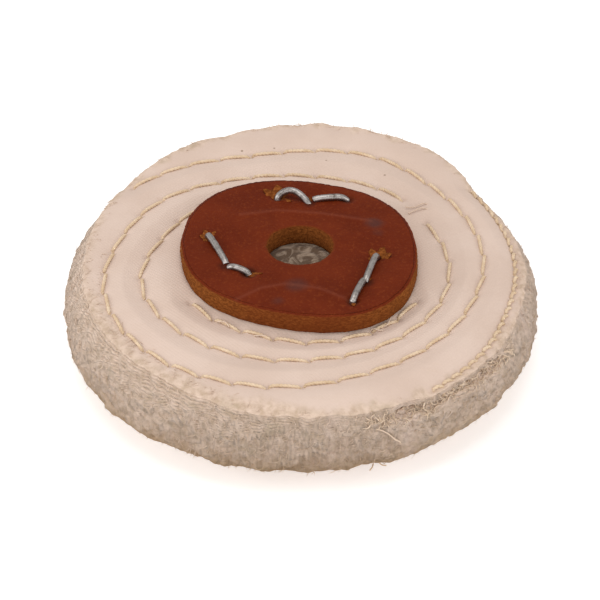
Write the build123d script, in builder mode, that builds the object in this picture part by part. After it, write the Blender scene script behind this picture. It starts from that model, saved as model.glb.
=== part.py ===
"""Stitched calico polishing wheel with leather centre washers, in millimetres, +Z up.

A stack of cotton discs is sewn together by hand-guided lockstitch seams. A leather washer
on each side holds the middle, and three wire staples go right through and are clinched on
top. The origin is on the wheel's axis, at the underside of the bottom washer.
"""

from math import cos, degrees, radians, sin

from build123d import *
import os

# Driving dimensions
WHEEL_DIAMETER = 100.0
PLY_COUNT = 42
PLY_THICKNESS = 0.4
WASHER_DIAMETER = 49.4
WASHER_THICKNESS = 4.5
SPINDLE_HOLE_DIAMETER = 14.0
STAPLE_WIRE_DIAMETER = 1.4
STAPLE_BEND_RADIUS = 1.3
STAPLE_CLEARANCE = 0.05
CLINCH_GAP = 0.8
THREAD_DIAMETER = 0.6
THREAD_BEND_RADIUS = 0.45
STRAND_SPACING = 0.66
LOCK_CLEARANCE = 0.02
NEEDLE_HOLE_DIAMETER = 1.7

# Levels, from the underside up
STACK_BOTTOM = WASHER_THICKNESS
STACK_TOP = STACK_BOTTOM + PLY_COUNT * PLY_THICKNESS
STACK_MIDDLE = (STACK_BOTTOM + STACK_TOP) / 2
WASHER_TOP = STACK_TOP + WASHER_THICKNESS

# Each staple: where its two legs come up through the top washer
STAPLES = {
    "left": ((-19.3, 3.4), (-10.6, -9.7)),
    "back": ((-4.8, 17.9), (10.1, 17.2)),
    "right": ((16.0, -3.9), (10.8, -19.3)),
}

# Each seam, guided by hand: its stitch length, and the places it was steered through, as
# (angle, radius). Angles fall as the seam runs clockwise, and pass below -180 on a long one.
SEAMS = {
    "rim": (2.6, [(36, 45.5), (20, 45.0), (0, 45.2), (-20, 45.3), (-35, 46.3), (-58, 47.4)]),
    "middle": (
        7.0,
        [(143, 45.0), (125, 42.5), (105, 39.6), (67, 41.2), (40, 39.1), (0, 38.7), (-22, 38.0)]
        + [(-70, 38.4), (-98, 40.6), (-133, 42.3), (-165, 42.0), (-193, 38.8), (-219, 36.8)]
        + [(-241, 33.2), (-270, 31.0), (-300, 31.2), (-322, 31.5)],
    ),
    "inner": (
        7.0,
        [(28, 30.2), (9, 31.0), (-20, 31.9), (-50, 32.0), (-88, 31.9), (-117, 32.7)]
        + [(-150, 33.8), (-170, 33.8), (-193, 30.7), (-210, 29.5), (-240, 28.0), (-275, 27.0)],
    ),
    "washer_edge": (7.0, [(-28, 27.2), (-50, 27.4), (-78, 26.6), (-108, 25.3), (-152, 26.2)]),
}


def washer_radius(angle, turn):
    """Radius of a washer's knife-cut edge, which is slightly oval and slightly square."""
    oval = 1.3 * cos(radians(2 * (angle - turn + 39)))
    square = 0.6 * cos(radians(4 * (angle - turn - 38)))
    lean = 0.25 * cos(radians(3 * (angle - turn - 57)))
    return WASHER_DIAMETER / 2 + oval + square + lean


def washer_outline(turn, spacing=10):
    """Points on a washer's edge, for a closed spline."""
    outline = []
    for angle in range(0, 360, spacing):
        radius = washer_radius(angle, turn)
        outline.append((radius * cos(radians(angle)), radius * sin(radians(angle))))
    return outline


def seam_radius(places, angle):
    """Radius of a seam at an angle: a smooth curve through the places it was steered through."""
    last = len(places) - 2
    span = 0
    while span < last and angle < places[span + 1][0]:
        span += 1
    (start, low), (end, high) = places[span], places[span + 1]
    before = places[max(span - 1, 0)]
    after = places[min(span + 2, last + 1)]
    slope_in = (high - before[1]) / (end - before[0]) * (end - start)
    slope_out = (after[1] - low) / (after[0] - start) * (end - start)
    t = (angle - start) / (end - start)
    rise = (3 - 2 * t) * t * t * (high - low)
    return low + rise + t * (1 - t) * ((1 - t) * slope_in - t * slope_out)


def needle_places(stitch, places):
    """Points where the needle goes through the cloth, one stitch apart along a seam."""
    angle = places[0][0]
    found = []
    while angle > places[-1][0]:
        radius = seam_radius(places, angle)
        found.append(Vector(radius * cos(radians(angle)), radius * sin(radians(angle)), 0))
        angle -= degrees(stitch / radius)
    return found


def thread_route(needle_points, outside):
    """Corners of one thread of a lockstitch seam. It runs on the cloth's face, which lies at
    the level outside, and dips through every needle hole to the middle of the stack."""
    side = 1 if outside > STACK_MIDDLE else -1
    face = Vector(0, 0, outside + side * THREAD_DIAMETER / 2)
    meeting = Vector(0, 0, STACK_MIDDLE + side * (THREAD_DIAMETER / 2 + LOCK_CLEARANCE))
    corners = [needle_points[0] + meeting]
    for here, there in zip(needle_points, needle_points[1:]):
        along = (there - here).normalized() * STRAND_SPACING / 2
        leaving = here if here is needle_points[0] else here + along
        arriving = there if there is needle_points[-1] else there - along
        if here is not needle_points[0]:
            corners.append(leaving + meeting)
        corners.append(leaving + face)
        corners.append(arriving + face)
        corners.append(arriving + meeting)
    return corners


def right_angle_bend(corner, before, after, radius):
    """Quarter arc that rounds one right-angled corner of a route."""
    into = (corner - before).normalized()
    out_of = (after - corner).normalized()
    centre = corner + (out_of - into) * radius
    middle = centre + (into - out_of).normalized() * radius
    return corner - into * radius, middle, corner + out_of * radius


def staple_corners(first_leg, second_leg):
    """Corners of one staple: an end clinched on top, a leg, the crown, a leg, the other end."""
    first, second = Vector(*first_leg, 0), Vector(*second_leg, 0)
    crown = Vector(0, 0, STAPLE_WIRE_DIAMETER / 2)
    clinch = Vector(0, 0, WASHER_TOP + STAPLE_WIRE_DIAMETER / 2)
    halfway = (first + second) / 2
    gap = (second - first).normalized() * CLINCH_GAP / 2
    rising = [halfway - gap + clinch, first + clinch, first + crown]
    return rising + [second + crown, second + clinch, halfway + gap + clinch]


def bent_wire(corners, wire_radius):
    """Round wire bent along a route."""
    with BuildPart() as wire:
        with BuildLine():
            FilletPolyline(*corners, radius=STAPLE_BEND_RADIUS)
        with BuildSketch(Plane(origin=corners[0], z_dir=corners[1] - corners[0])):
            Circle(wire_radius)
        sweep()
    return wire.part


def save(part, name):
    """Labels one finished piece and writes it as its own node."""
    part.label = name
    export_step(part, f"parts/{name}.step")


os.makedirs("parts", exist_ok=True)

seam_needle_points = {name: needle_places(*seam) for name, seam in SEAMS.items()}
all_needle_points = [point for points in seam_needle_points.values() for point in points]
all_staple_points = [leg for legs in STAPLES.values() for leg in legs]
staple_hole_radius = STAPLE_WIRE_DIAMETER / 2 + STAPLE_CLEARANCE

# Wire staples: the crown lies in the bottom washer, and the ends are clinched on the top one
staple_cuts = []
for place, legs in STAPLES.items():
    corners = staple_corners(*legs)
    save(bent_wire(corners, STAPLE_WIRE_DIAMETER / 2), f"wire_staple_{place}")
    staple_cuts.append(bent_wire(corners, staple_hole_radius))

# Leather washers, cut by hand from one pattern and laid back to back
for side, level, turn in (("bottom", 0, 180), ("top", STACK_TOP, 0)):
    with BuildPart() as washer:
        with BuildSketch(Plane.XY.offset(level)):
            with BuildLine():
                Spline(*washer_outline(turn), periodic=True)
            make_face()
            Circle(SPINDLE_HOLE_DIAMETER / 2, mode=Mode.SUBTRACT)
        extrude(amount=WASHER_THICKNESS)
        for cut in staple_cuts:
            add(cut, mode=Mode.SUBTRACT)
        if side == "bottom":
            for first_leg, second_leg in STAPLES.values():
                chord = Vector(*second_leg, 0) - Vector(*first_leg, 0)
                halfway = Vector(*first_leg, 0) + chord / 2
                with BuildSketch(Plane(origin=halfway, x_dir=chord, z_dir=(0, 0, 1))):
                    SlotCenterToCenter(chord.length - 2 * STAPLE_BEND_RADIUS, 2 * staple_hole_radius)
            extrude(amount=STAPLE_WIRE_DIAMETER / 2, mode=Mode.SUBTRACT)
    save(washer.part, f"leather_washer_{side}")

# Cotton plies: all cut alike, and pierced together by the needle and by the staples
with BuildPart() as ply_pattern:
    with BuildSketch():
        Circle(WHEEL_DIAMETER / 2)
        with Locations(*all_needle_points):
            Circle(NEEDLE_HOLE_DIAMETER / 2, mode=Mode.SUBTRACT)
        with Locations(*all_staple_points):
            Circle(staple_hole_radius, mode=Mode.SUBTRACT)
    extrude(amount=PLY_THICKNESS)
for number in range(1, PLY_COUNT + 1):
    level = STACK_BOTTOM + (number - 1) * PLY_THICKNESS
    with BuildPart(Plane.XY.offset(level)) as ply:
        add(ply_pattern.part)
    save(ply.part, f"cloth_ply_{number:02d}")

# Sewing threads: the needle thread lies on top and the bobbin thread underneath
for seam, needle_points in seam_needle_points.items():
    for kind, outside in (("needle", STACK_TOP), ("bobbin", STACK_BOTTOM)):
        corners = thread_route(needle_points, outside)
        with BuildPart() as thread:
            with BuildLine() as route:
                start = corners[0]
                for before, corner, after in zip(corners, corners[1:], corners[2:]):
                    shorter_run = min((corner - before).length, (after - corner).length)
                    radius = min(THREAD_BEND_RADIUS, shorter_run * 0.49)
                    bend = right_angle_bend(corner, before, after, radius)
                    Line(start, bend[0])
                    ThreePointArc(*bend)
                    start = bend[2]
                Line(start, corners[-1])
            with BuildSketch(Plane(origin=corners[0], z_dir=corners[1] - corners[0])):
                Circle(THREAD_DIAMETER / 2)
            sweep()
        save(thread.part, f"{kind}_thread_{seam}")
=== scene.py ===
"""Stitched calico polishing wheel: forty-two cotton discs, two leather washers, three staples."""

import math

import bpy
import numpy as np
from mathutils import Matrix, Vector


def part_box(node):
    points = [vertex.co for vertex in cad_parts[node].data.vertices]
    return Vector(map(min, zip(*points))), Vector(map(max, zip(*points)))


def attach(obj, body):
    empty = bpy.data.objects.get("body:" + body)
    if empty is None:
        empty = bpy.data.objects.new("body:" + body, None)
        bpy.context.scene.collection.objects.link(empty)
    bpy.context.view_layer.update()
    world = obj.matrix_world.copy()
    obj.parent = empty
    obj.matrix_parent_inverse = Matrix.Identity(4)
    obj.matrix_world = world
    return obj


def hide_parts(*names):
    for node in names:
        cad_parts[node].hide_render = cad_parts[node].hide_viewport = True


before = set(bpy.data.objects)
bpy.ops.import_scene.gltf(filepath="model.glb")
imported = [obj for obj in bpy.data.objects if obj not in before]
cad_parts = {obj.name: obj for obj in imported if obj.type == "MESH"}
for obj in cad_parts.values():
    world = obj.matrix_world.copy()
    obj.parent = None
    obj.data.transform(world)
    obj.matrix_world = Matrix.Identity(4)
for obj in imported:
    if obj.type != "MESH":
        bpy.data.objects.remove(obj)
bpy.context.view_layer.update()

# ---------------------------------------------------------------- cotton plies
# Forty-two discs of unbleached calico, cut with a knife and laid up dry. The rows of stitches
# quilt the two faces, the washers press the middle flat, and use has brushed the cut edges.
MM = 0.001
# Four rows of lockstitch are steered by hand round the wheel, from the rim inwards, and pull
# the cloth down where they pass. Each row has its stitch length and the places it passes, as
# (angle in degrees, radius in millimetres).
SEAMS = {
    "rim": (2.6, [(36, 45.5), (20, 45.0), (0, 45.2), (-20, 45.3), (-35, 46.3), (-58, 47.4)]),
    "middle": (
        7.0,
        [(143, 45.0), (125, 42.5), (105, 39.6), (67, 41.2), (40, 39.1), (0, 38.7), (-22, 38.0)]
        + [(-70, 38.4), (-98, 40.6), (-133, 42.3), (-165, 42.0), (-193, 38.8), (-219, 36.8)]
        + [(-241, 33.2), (-270, 31.0), (-300, 31.2), (-322, 31.5)],
    ),
    "inner": (
        7.0,
        [(28, 30.2), (9, 31.0), (-20, 31.9), (-50, 32.0), (-88, 31.9), (-117, 32.7)]
        + [(-150, 33.8), (-170, 33.8), (-193, 30.7), (-210, 29.5), (-240, 28.0), (-275, 27.0)],
    ),
    "washer_edge": (7.0, [(-28, 27.2), (-50, 27.4), (-78, 26.6), (-108, 25.3), (-152, 26.2)]),
}


def on_circle(radius, angle):
    """The place at a radius and an angle in degrees."""
    return np.array([radius * math.cos(math.radians(angle)), radius * math.sin(math.radians(angle))])


def around(radius, angle):
    """Places at radii and angles in degrees, one to a row."""
    return np.stack([radius * np.cos(np.radians(angle)), radius * np.sin(np.radians(angle))], 1)


def seam_radius(places, angle):
    """Radius of a row at an angle: a smooth curve through the places it passes."""
    last = len(places) - 2
    span = 0
    while span < last and angle < places[span + 1][0]:
        span += 1
    (start, low), (end, high) = places[span], places[span + 1]
    before = places[max(span - 1, 0)]
    after = places[min(span + 2, last + 1)]
    slope_in = (high - before[1]) / (end - before[0]) * (end - start)
    slope_out = (after[1] - low) / (after[0] - start) * (end - start)
    t = (angle - start) / (end - start)
    rise = (3 - 2 * t) * t * t * (high - low)
    return low + rise + t * (1 - t) * ((1 - t) * slope_in - t * slope_out)


def steps_along(step, places):
    """Places one step apart along a row, as the needle makes them."""
    angle = places[0][0]
    found = []
    while angle > places[-1][0]:
        radius = seam_radius(places, angle)
        found.append(on_circle(radius, angle))
        angle -= math.degrees(step / radius)
    return np.array(found)


needle_holes = {name: steps_along(*seam) for name, seam in SEAMS.items()}
every_hole = np.vstack(list(needle_holes.values()))
every_row = np.vstack([steps_along(1.0, places) for _, places in SEAMS.values()])


def nearest(places, targets):
    """Distance from each place to the nearest of the targets."""
    found = np.full(len(places), np.inf)
    for some in np.array_split(targets, len(targets) // 40 + 1):
        gaps = np.hypot(places[:, None, 0] - some[None, :, 0], places[:, None, 1] - some[None, :, 1])
        found = np.minimum(found, gaps.min(axis=1))
    return found


def ease(value):
    """Smooth step from 0 to 1."""
    value = np.clip(value, 0, 1)
    return value * value * (3 - 2 * value)


class Socket:
    """One output of a node. Arithmetic on it adds Math nodes to its tree."""

    def __init__(self, tree, socket):
        self.tree = tree
        self.socket = socket

    def __add__(self, other):
        return self.tree.maths("ADD", self, other)

    __radd__ = __add__

    def __sub__(self, other):
        return self.tree.maths("SUBTRACT", self, other)

    def __rsub__(self, other):
        return self.tree.maths("SUBTRACT", other, self)

    def __mul__(self, other):
        return self.tree.maths("MULTIPLY", self, other)

    __rmul__ = __mul__

    def __gt__(self, other):
        return self.tree.maths("GREATER_THAN", self, other)

    def also(self, output):
        """Another output of the same node."""
        return Socket(self.tree, self.socket.node.outputs[output])


class Tree:
    """A node tree that is written line by line."""

    def __init__(self, node_tree):
        self.node_tree = node_tree

    def node(self, kind, settings=None, inputs=None, output=0):
        """Adds one node: its settings first, then values or links by input name or number."""
        made = self.node_tree.nodes.new(kind)
        for name, value in (settings or {}).items():
            setattr(made, name, value)
        for name, value in (inputs or {}).items():
            if isinstance(value, Socket):
                self.node_tree.links.new(value.socket, made.inputs[name])
            else:
                made.inputs[name].default_value = value
        return Socket(self, made.outputs[output])

    def maths(self, operation, first, second=0.0):
        """Number worked out from one or two others."""
        return self.node("ShaderNodeMath", {"operation": operation}, {0: first, 1: second})

    def blend(self, factor, low, high):
        """Colour that goes from low to high."""
        settings = {"data_type": "RGBA"}
        return self.node("ShaderNodeMix", settings, {0: factor, 6: low, 7: high}, 2)

    def ramp(self, value, low, high):
        """Number from 0 at low to 1 at high, held at both ends."""
        inputs = {"Value": value, "From Min": low, "From Max": high}
        return self.node("ShaderNodeMapRange", {"interpolation_type": "SMOOTHSTEP"}, inputs)

    def place(self):
        """Place in the object's own space, in metres."""
        return self.node("ShaderNodeTexCoord", output="Object")

    def painted(self, name):
        """Number that is painted on the points of a piece."""
        return self.node("ShaderNodeAttribute", {"attribute_name": name}, output="Fac")

    def noise(self, place, scale, detail=3.0, roughness=0.55):
        """Cloudy number from 0 to 1, at so many clouds a metre."""
        inputs = {"Vector": place, "Scale": scale, "Detail": detail, "Roughness": roughness}
        return self.node("ShaderNodeTexNoise", None, inputs)


def new_material(name, roughness, **constants):
    """A material with a Principled shader. Constants go straight onto its sockets."""
    material = bpy.data.materials.new(name)
    material.use_nodes = True
    shader = material.node_tree.nodes["Principled BSDF"]
    shader.inputs["Roughness"].default_value = roughness
    for socket, value in constants.items():
        shader.inputs[socket.replace("_", " ")].default_value = value
    return material, Tree(material.node_tree), shader


def rgb(red, green, blue):
    """A colour for a socket."""
    return (red, green, blue, 1.0)


def bumped(tree, shader, height, strength, distance):
    """Feeds a height to the shader's normal."""
    inputs = {"Height": height, "Strength": strength, "Distance": distance}
    bump = tree.node("ShaderNodeBump", None, inputs)
    tree.node_tree.links.new(bump.socket, shader.inputs["Normal"])


def feed(tree, shader, **links):
    """Links values to the shader's sockets by name."""
    for name, value in links.items():
        socket = shader.inputs[name.replace("_", " ")]
        tree.node_tree.links.new(value.socket, socket)


def new_piece(name, points, faces, material):
    """A mesh object at the origin, from points in millimetres."""
    mesh = bpy.data.meshes.new(name)
    mesh.from_pydata([tuple(p) for p in np.asarray(points) * MM], [], faces)
    mesh.materials.append(material)
    mesh.shade_smooth()
    made = bpy.data.objects.new(name, mesh)
    bpy.context.scene.collection.objects.link(made)
    return made


def paint(piece, name, values):
    """Stores one number per point for the material to read."""
    attribute = piece.data.attributes.new(name, "FLOAT", "POINT")
    attribute.data.foreach_set("value", np.asarray(values, np.float32))


ply_names = sorted(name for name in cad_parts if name.startswith("cloth_ply"))
PLY_COUNT = len(ply_names)
STACK_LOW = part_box(ply_names[0])[0].z / MM
STACK_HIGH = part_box(ply_names[-1])[1].z / MM
RIM_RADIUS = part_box(ply_names[0])[1].x / MM
HOLE_RADIUS = 7.0
# The upper washer leans this much for each unit towards the back, and the lower one is turned
TILT = 0.036
TOP_TURN, BOTTOM_TURN = 0, 180
# The cut edge as (angle, radius): a flat at 30 degrees, and bulges beside it and at the back
CUT_EDGE = [
    (180, 49.2), (150, 48.4), (132, 48.3), (118, 49.2), (110, 48.8), (100, 49.7), (87, 50.6),
    (70, 50.2), (53, 50.2), (45, 49.3), (35, 48.0), (20, 48.3), (10, 49.1), (0, 49.5),
    (-30, 49.8), (-60, 49.9), (-90, 49.9), (-120, 49.9), (-150, 49.6), (-180, 49.2),
]


WASHER_RADIUS = 24.7


def washer_radius(angle, turn):
    """Radius of a washer's knife-cut edge, as the frame has it."""
    oval = 1.3 * np.cos(np.radians(2 * (angle - turn + 39)))
    square = 0.6 * np.cos(np.radians(4 * (angle - turn - 38)))
    lean = 0.25 * np.cos(np.radians(3 * (angle - turn - 57)))
    return WASHER_RADIUS + oval + square + lean


class Waves:
    """Random waves that run round the wheel and change with height."""

    def __init__(self, seed, count, slowest, fastest, height_rate):
        draw = np.random.default_rng(seed)
        self.turns = draw.integers(slowest, fastest, count)
        self.rates = draw.uniform(-height_rate, height_rate, count)
        self.phases = draw.uniform(0, 2 * math.pi, count)

    def at(self, angle, height):
        """About -1 to 1 at an angle in degrees and a height in millimetres."""
        total = 0
        for turns, rate, phase in zip(self.turns, self.rates, self.phases):
            total = total + np.sin(turns * np.radians(angle) + rate * height + phase)
        return total / math.sqrt(len(self.turns))


bunches = Waves(1, 14, 8, 40, 0.9)
frays = Waves(2, 30, 50, 180, 3.2)
swells = Waves(3, 9, 2, 9, 0.3)


def window(angle, start, end, soft=6.0):
    """1 between two angles and 0 outside them, with soft ends."""
    return ease((angle - start) / soft) * ease((end - angle) / soft)


# How the stitches shape a face, in millimetres: heights and depths, then how far each reaches
PUFF, PUFF_REACH = 0.8, 3.4
GROOVE, GROOVE_REACH = 0.16, 0.9
DIMPLE, DIMPLE_REACH = 0.55, 0.7
FACE_ROLL = 0.12
FACE_SINK = 0.35
# The worn shoulder: where it starts, how wide it is, and how far each face drops over it
SHOULDER_START, SHOULDER_WIDTH = 41.0, 8.5
UPPER_DROP, LOWER_DROP, SPARED_AT_BACK = 3.4, 1.6, 2.9
BACK = (25, 160, 35)
# Pressed flat under the washers, and loose again inside the spindle hole
PRESSED_LEVEL, PRESSED_MARGIN, PRESSED_SOFTNESS = -0.12, 0.5, 1.6
HOLE_BULGE, HOLE_SWIRL = 0.55, 0.35


def face_height(places, upper):
    """How far a face of the stack stands out from its flat level, in millimetres."""
    radius = np.hypot(places[:, 0], places[:, 1])
    angle = np.degrees(np.arctan2(places[:, 1], places[:, 0]))
    row_gap = nearest(places, every_row)
    hole_gap = nearest(places, every_hole)
    puff = PUFF * (1 - np.exp(-((row_gap / PUFF_REACH) ** 2)))
    groove = GROOVE * np.exp(-((row_gap / GROOVE_REACH) ** 2))
    dimple = DIMPLE * np.exp(-((hole_gap / DIMPLE_REACH) ** 2))
    roll = FACE_ROLL * swells.at(angle + radius * 3, radius * 0.6)
    height = puff - groove - dimple + roll - FACE_SINK
    back = window(angle, *BACK)
    drop = UPPER_DROP - SPARED_AT_BACK * back if upper else LOWER_DROP
    over = np.clip((radius - SHOULDER_START) / SHOULDER_WIDTH, 0, 2)
    height = height - drop * over ** 2.0
    washer_edge = washer_radius(angle, TOP_TURN if upper else BOTTOM_TURN) + PRESSED_MARGIN
    pressed = ease((washer_edge - radius) / PRESSED_SOFTNESS)
    lean = TILT * places[:, 1] * np.clip((28 - radius) / 6, 0, 1)
    level = PRESSED_LEVEL - lean * (1 if upper else 0)
    height = height * (1 - pressed) + level * pressed
    inside = ease((HOLE_RADIUS + 0.4 - radius) / 2.5)
    swirl = HOLE_SWIRL * np.sin(np.radians(angle) * 2 + radius * 1.3) * np.sin(radius * 1.15 + 0.6)
    return height + inside * (HOLE_BULGE + swirl * np.clip(radius / 3, 0, 1))


# How far the edges round off at the top and bottom of the rim, and how ragged they are
ROUNDING, LEFT_ROUNDING, BACK_ROUNDING, LIP_ROUNDING = 2.2, 1.7, -1.6, -0.5
BOTTOM_ROUNDING = 1.3
LEFT = (150, 262, 30)
LIP = (-72, -30)
LIP_SHARE, LIP_DEPTH, LIP_REACH = 0.86, 2.6, 0.045
BUNCHED, FRAYED = 0.22, 0.22
# Above this share of the height the plies are held more and their edges are calmer
FREE_SHARE = 0.9


def ply_edge(angle, share, height):
    """Radius of a ply's frayed edge. Share runs from 0 at the lowest ply to 1 at the top one."""
    edge = np.interp(-angle, [-a for a, _ in CUT_EDGE], [r for _, r in CUT_EDGE])
    lower = RIM_RADIUS - 0.35 + 0.25 * np.cos(np.radians(angle * 3 + 40))
    upper_part = ease((share - 0.45) / 0.5)
    edge = edge * upper_part + lower * (1 - upper_part)
    left = LEFT_ROUNDING * window(np.mod(angle, 360), *LEFT)
    back = BACK_ROUNDING * window(angle, *BACK)
    softness = ROUNDING + left + back + LIP_ROUNDING * window(angle, -85, -20, 15)
    rounding = softness * np.clip((share - 0.58) / 0.42, 0, 1) ** 2.4
    rounding = rounding + BOTTOM_ROUNDING * np.clip((0.2 - share) / 0.2, 0, 1) ** 2
    lip = window(angle, *LIP) * (LIP_DEPTH * np.exp(-(((share - LIP_SHARE) / LIP_REACH) ** 2)))
    matting = BUNCHED * bunches.at(angle, height * 2.4) + FRAYED * frays.at(angle, height)
    return edge - rounding - lip + matting * (1 - 0.6 * ease((share - FREE_SHARE) / 0.1))


def ply_lift(radius, angle, height, share):
    """How much a ply's edge rises or sinks out of its layer, bunched with its neighbours."""
    out = np.clip((radius - 43.5) / 6.5, 0, 1.3) ** 2
    lip = window(angle, *LIP) * (0.55 * np.tanh((share - LIP_SHARE) / 0.06))
    free = 1 - ease((share - FREE_SHARE) / 0.1) * 0.55
    return out * (0.5 * bunches.at(angle + 57, height * 0.8) * free + lip)


def layered_grid(rings, sectors, share, height):
    """Places of a polar grid on one ply: the centre first, then ring by ring outwards."""
    angle = np.linspace(-180, 180, sectors, endpoint=False)
    edge = ply_edge(angle, share, height)
    radius = np.concatenate([edge * ring for ring in rings])
    angles = np.tile(angle, len(rings))
    flat = around(radius, angles)
    return np.vstack([[0.0, 0.0], flat]), np.append(0.0, radius), np.append(0.0, angles)


def fan_faces(rings, sectors, first, flip):
    """Faces of a polar grid whose centre point has the number first."""
    faces = []
    for ring in range(rings):
        here = first + 1 + ring * sectors
        for k in range(sectors):
            after = (k + 1) % sectors
            if ring == 0:
                face = (first, here + k, here + after)
            else:
                face = (here - sectors + k, here + k, here + after, here - sectors + after)
            faces.append(face[::-1] if flip else face)
    return faces


# Inside the shoulder, what lies under a face keeps clear of its grooves
CLEAR_SHARE, CLEAR_RADIUS = 0.84, 41.5


def ply(number, upper_rings, lower_rings, sectors):
    """One disc of cloth: its upper and lower side share the frayed edge."""
    share = (number + 0.5) / PLY_COUNT
    nominal = STACK_LOW + share * (STACK_HIGH - STACK_LOW)
    sides = []
    for is_upper, rings, within in ((True, upper_rings, 0.92), (False, lower_rings, 0.08)):
        side_share = (number + within) / PLY_COUNT
        flat, radius, angle = layered_grid(rings, sectors, share, nominal)
        high = STACK_HIGH + face_height(flat, True)
        low = STACK_LOW - face_height(flat, False)
        clear = CLEAR_SHARE + (1 - CLEAR_SHARE) * ease((radius - CLEAR_RADIUS) / 2.5)
        outer_side = number == (PLY_COUNT - 1 if is_upper else 0)
        drawn_in = 0.5 + (side_share - 0.5) * (1.0 if outer_side else clear)
        z = low + drawn_in * (high - low) + ply_lift(radius, angle, nominal, share)
        sides.append(np.column_stack([flat, z]))
    upper, lower = sides
    shared = upper[-sectors:].copy()
    shared[:, 2] = (shared[:, 2] + lower[-sectors:, 2]) / 2
    upper[-sectors:] = shared
    faces = fan_faces(len(upper_rings), sectors, 0, False)
    below = fan_faces(len(lower_rings), sectors, len(upper), True)
    edge_start = len(upper) + len(lower) - sectors
    moved = len(upper) - sectors - edge_start
    faces += [tuple(i + moved if i >= edge_start else i for i in face) for face in below]
    return np.vstack([upper, lower[:-sectors]]), faces


SHADED_COTTON, PALE_COTTON = rgb(0.590, 0.450, 0.372), rgb(0.640, 0.500, 0.422)
SLUB_YARN, WEAVE_SHADE = rgb(0.60, 0.455, 0.355), rgb(0.55, 0.42, 0.34)
WORN_DARK, WORN_PALE = rgb(0.47, 0.345, 0.25), rgb(0.66, 0.51, 0.41)
WORN_GREY, SPECK = rgb(0.40, 0.31, 0.215), rgb(0.23, 0.15, 0.10)
LOW_BROWN_COTTON = rgb(0.43, 0.29, 0.155)
GRIME_DARK, GRIME_PALE = rgb(0.11, 0.070, 0.045), rgb(0.30, 0.225, 0.165)
YARNS_PER_METRE = 2200


def browned_low(tree, colour, height, patches):
    """Colour that turns darker and browner towards the bottom of the stack."""
    clear_of_browning = tree.ramp(height + patches * 0.006, 0.006, 0.014)
    return tree.blend((1 - clear_of_browning) * 0.8, colour, LOW_BROWN_COTTON)


calico, tree, shader = new_material("unbleached_calico", 0.92, Specular_IOR_Level=0.1, Sheen_Weight=0.1)
place = tree.place()
split = tree.node("ShaderNodeSeparateXYZ", None, {0: place})
across = split.also("X")
along = split.also("Y")
height = split.also("Z")
wander = tree.noise(place, 60.0) * 2.4
warp = tree.maths("SINE", (across + wander * 0.0002) * (YARNS_PER_METRE * math.pi))
weft = tree.maths("SINE", (along + wander * 0.0002) * (YARNS_PER_METRE * math.pi))
weave = warp * weft
stretched = tree.node("ShaderNodeMapping", None, {"Vector": place, "Scale": (1.0, 9.0, 1.0)})
slubs = tree.noise(stretched, 260.0, 2.0)
cloudy = tree.noise(place, 55.0, 4.0)
mottle = tree.noise(place, 620.0, 4.0, 0.65)
patches = tree.noise(place, 210.0, 3.0)
brushed = tree.painted("brushed")
clean = tree.blend(tree.ramp(cloudy, 0.35, 0.68), SHADED_COTTON, PALE_COTTON)
clean = tree.blend(tree.ramp(slubs, 0.5, 0.8) * 0.25, clean, SLUB_YARN)
clean = tree.blend(tree.ramp(weave, -1.0, 1.0) * 0.10, clean, WEAVE_SHADE)
worn = tree.blend(tree.ramp(mottle, 0.28, 0.70), WORN_DARK, WORN_PALE)
worn = tree.blend(tree.ramp(patches, 0.55, 0.75) * 0.55, worn, WORN_GREY)
worn = browned_low(tree, worn, height, patches)
colour = tree.blend(brushed, clean, worn)
cells = tree.node("ShaderNodeTexVoronoi", None, {"Vector": place, "Scale": 190.0, "Randomness": 1.0})
specks = (1 - tree.ramp(cells, 0.035, 0.07)) * (tree.noise(place, 24.0, 1.0) > 0.66)
colour = tree.blend(specks * 0.75, colour, SPECK)
soiled = tree.painted("soiled")
swirls = {"Vector": place, "Scale": 240.0, "Detail": 2.0, "Distortion": 2.6}
swirl = tree.node("ShaderNodeTexNoise", None, swirls)
grime = tree.blend(tree.ramp(swirl, 0.42, 0.66), GRIME_DARK, GRIME_PALE)
colour = tree.blend(soiled, colour, grime)
feed(tree, shader, Base_Color=colour)
bumped(tree, shader, weave * 0.35 + slubs * 0.5 + mottle * brushed * 3.0, 0.5, 0.00012)

# How far out the rings of points lie, as shares of the edge radius
COARSE = [0.3, 0.6, 0.8, 0.88, 0.92, 0.95, 0.97, 0.985, 1.0]
FINE = list(np.concatenate([np.linspace(0.015, 0.9, 112), np.linspace(0.906, 1.0, 22)]))
LIGHT = list(np.linspace(0.05, 0.9, 12)) + [0.93, 0.96, 0.98, 1.0]
FACE_SECTORS, INNER_SECTORS = 540, 420
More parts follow.
